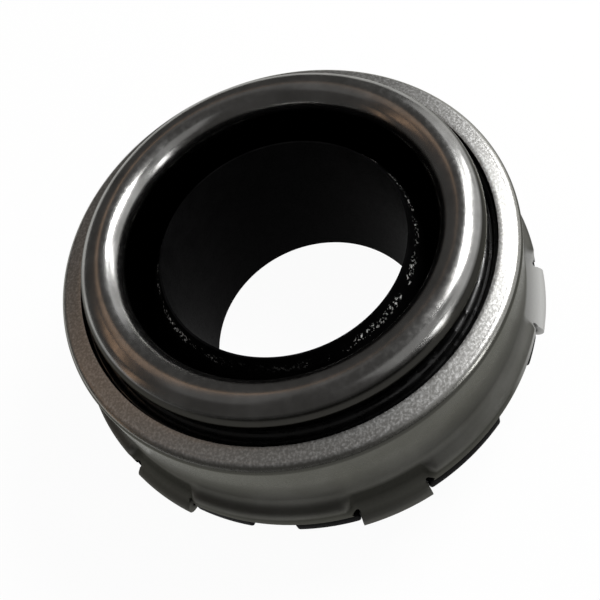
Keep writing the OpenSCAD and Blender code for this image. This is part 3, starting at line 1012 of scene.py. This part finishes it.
# %% Nylon of the cage
CAGE_DARK = (0.42, 0.32, 0.17)
CAGE_LIGHT = (0.5, 0.4, 0.24)
CAGE_ROUGH = (0.35, 0.5)
cage_nylon, tree, shader, place = new_finish("cage_nylon", 0.0)
cloud = effect(tree, clouds, place, Cloud_size=4.0, Fleck_size=0.3)
tree.links.new(blend_colours(tree, cloud["Clouds"], CAGE_DARK, CAGE_LIGHT), shader.inputs["Base Color"])
tree.links.new(between(tree, cloud["Flecks"], *CAGE_ROUGH), shader.inputs["Roughness"])
relief(tree, shader, cloud["Flecks"], SKIN_RELIEF)
dress(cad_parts["cage"], cage_nylon)
print(cage_nylon.name, "on the cage")

# %% [markdown]
# ## Floor, studio and light
#
# The part stands on a white floor under a dim dome. Polished steel looks like what it mirrors, and that is
# the dome with a few bright shapes in it. An image of a room could wrap the scene, but lamps can be placed
# one by one:
#
# - Three soft boxes make the bright streaks: a large high one, a small one below it, and a low strip.
# - Three pale cards lift the dark between them: a wide one at the side, one near the strip, one overhead.
# - Three warm cards, in a bow across from the boxes, give the brown of a room.
#
# None of them is in the picture. The camera sees the floor nearly white, with a little of its true grey mixed
# in to keep the shadow.

# %% Which rays see white
def seen_directly(tree):
    """1 for rays from the camera, off gloss or through glass, and 0 for all others."""
    path = add(tree, "ShaderNodeLightPath")
    total = path.outputs["Is Camera Ray"]
    for label in ("Is Glossy Ray", "Is Transmission Ray"):
        larger = add(tree, "ShaderNodeMath", operation="MAXIMUM")
        tree.links.new(total, larger.inputs[0])
        tree.links.new(path.outputs[label], larger.inputs[1])
        total = larger.outputs[0]
    return total


# %% Floor
FLOOR_SIZE = 6.0
FLOOR_DROP = 0.02
FLOOR_SHOWN = 0.955
FLOOR_GREY = (0.8, 0.8, 0.8, 1)
WHITE = (1, 1, 1, 1)

bpy.ops.object.select_all(action="DESELECT")
bpy.ops.mesh.primitive_plane_add(size=FLOOR_SIZE, location=(0, 0, cad_box[0][2] - FLOOR_DROP * MM))
floor = bpy.context.object
floor.name = "floor"
floor_finish = bpy.data.materials.new("white_floor")
floor_finish.use_nodes = True
tree = floor_finish.node_tree
tree.nodes.clear()
lit = add(tree, "ShaderNodeBsdfDiffuse", Color=FLOOR_GREY)
white = add(tree, "ShaderNodeEmission", Color=WHITE, Strength=1.0)
mix = add(tree, "ShaderNodeMixShader")
surface = add(tree, "ShaderNodeOutputMaterial")
tree.links.new(times(tree, seen_directly(tree), FLOOR_SHOWN), mix.inputs["Fac"])
tree.links.new(lit.outputs[0], mix.inputs[1])
tree.links.new(white.outputs[0], mix.inputs[2])
tree.links.new(mix.outputs[0], surface.inputs["Surface"])
dress(floor, floor_finish)
print("floor at", round(floor.location.z / MM, 2), "mm")

# %% World
WORLD_FILL = 0.45
world = bpy.data.worlds.new("world")
bpy.context.scene.world = world
world.use_nodes = True
tree = world.node_tree
tree.nodes.clear()
fill = add(tree, "ShaderNodeBackground", Color=WHITE, Strength=WORLD_FILL)
shown = add(tree, "ShaderNodeBackground", Color=WHITE, Strength=1.0)
mix = add(tree, "ShaderNodeMixShader")
surface = add(tree, "ShaderNodeOutputWorld")
tree.links.new(seen_directly(tree), mix.inputs["Fac"])
tree.links.new(fill.outputs[0], mix.inputs[1])
tree.links.new(shown.outputs[0], mix.inputs[2])
tree.links.new(mix.outputs[0], surface.inputs["Surface"])
print("world fill", WORLD_FILL)

# %% Dim studio above the floor
STUDIO_R = 1.4
STUDIO_GLOW = 0.08
STUDIO_TINT = (1, 0.98, 0.95, 1)
bpy.ops.object.select_all(action="DESELECT")
bpy.ops.mesh.primitive_uv_sphere_add(segments=48, ring_count=24, radius=STUDIO_R)
studio = bpy.context.object
studio.name = "studio"
edit(studio)
bpy.ops.mesh.select_all(action="SELECT")
bpy.ops.mesh.bisect(plane_co=(0, 0, floor.location.z), plane_no=(0, 0, 1), clear_inner=True)
done()
studio_finish = bpy.data.materials.new("dim_studio")
studio_finish.use_nodes = True
tree = studio_finish.node_tree
tree.nodes.clear()
glow = add(tree, "ShaderNodeEmission", Color=STUDIO_TINT, Strength=STUDIO_GLOW)
surface = add(tree, "ShaderNodeOutputMaterial")
tree.links.new(glow.outputs[0], surface.inputs["Surface"])
dress(studio, studio_finish)
for ray in ("camera", "diffuse", "transmission", "volume_scatter", "shadow"):
    setattr(studio, "visible_" + ray, False)
print("studio glow", STUDIO_GLOW)

# %% Making a soft box
AIM = Vector((0, 0, 20)) * MM


def soft_box(name, azimuth, elevation, distance, width, height, radiance, colour=(1, 1, 1), roll=0):
    """An area lamp of this brightness, turned to the part. Lengths are in metres, and a roll tilts it."""
    turn = radians(azimuth)
    lift = radians(elevation)
    way = Vector((cos(turn) * cos(lift), sin(turn) * cos(lift), sin(lift)))
    lamp = bpy.data.lights.new(name, "AREA")
    lamp.shape = "RECTANGLE"
    lamp.size = width
    lamp.size_y = height
    lamp.energy = radiance * pi * width * height
    lamp.color = colour
    box = bpy.data.objects.new(name, lamp)
    box.location = AIM + way * distance
    box.rotation_euler = (way.to_track_quat("Z", "Y") @ Quaternion((0, 0, 1), radians(roll))).to_euler()
    bpy.context.scene.collection.objects.link(box)
    print(name, "of", round(lamp.energy, 3), "watts")


# %% Soft boxes and cards
WARM = (1, 0.62, 0.38)
soft_box("high_box", azimuth=133, elevation=49, distance=0.5, width=0.25, height=0.12, radiance=20)
soft_box("tip_box", azimuth=144, elevation=24, distance=0.5, width=0.06, height=0.18, radiance=6)
soft_box("strip_box", azimuth=76, elevation=8, distance=0.55, width=0.05, height=0.32, radiance=10)
soft_box("side_card", azimuth=128, elevation=22, distance=0.7, width=1.2, height=0.6, radiance=0.7)
soft_box("near_card", azimuth=64, elevation=46, distance=0.6, width=0.3, height=0.36, radiance=0.36)
soft_box("ceiling_card", azimuth=-105, elevation=68, distance=0.6, width=0.45, height=0.22, radiance=0.11)
soft_box("warm_card_left", azimuth=-127, elevation=55, distance=0.6, width=0.27, height=0.08, radiance=0.5,
         colour=WARM)
soft_box("warm_card_mid", azimuth=-90, elevation=38, distance=0.6, width=0.3, height=0.07, radiance=0.7,
         colour=WARM, roll=-45)
soft_box("warm_card_right", azimuth=-67, elevation=8, distance=0.6, width=0.06, height=0.36, radiance=0.6,
         colour=WARM)

# %% [markdown]
# ## Picture settings
#
# The Standard view shows colours about as they are written.

# %% Picture settings
bpy.context.scene.view_settings.view_transform = "Standard"
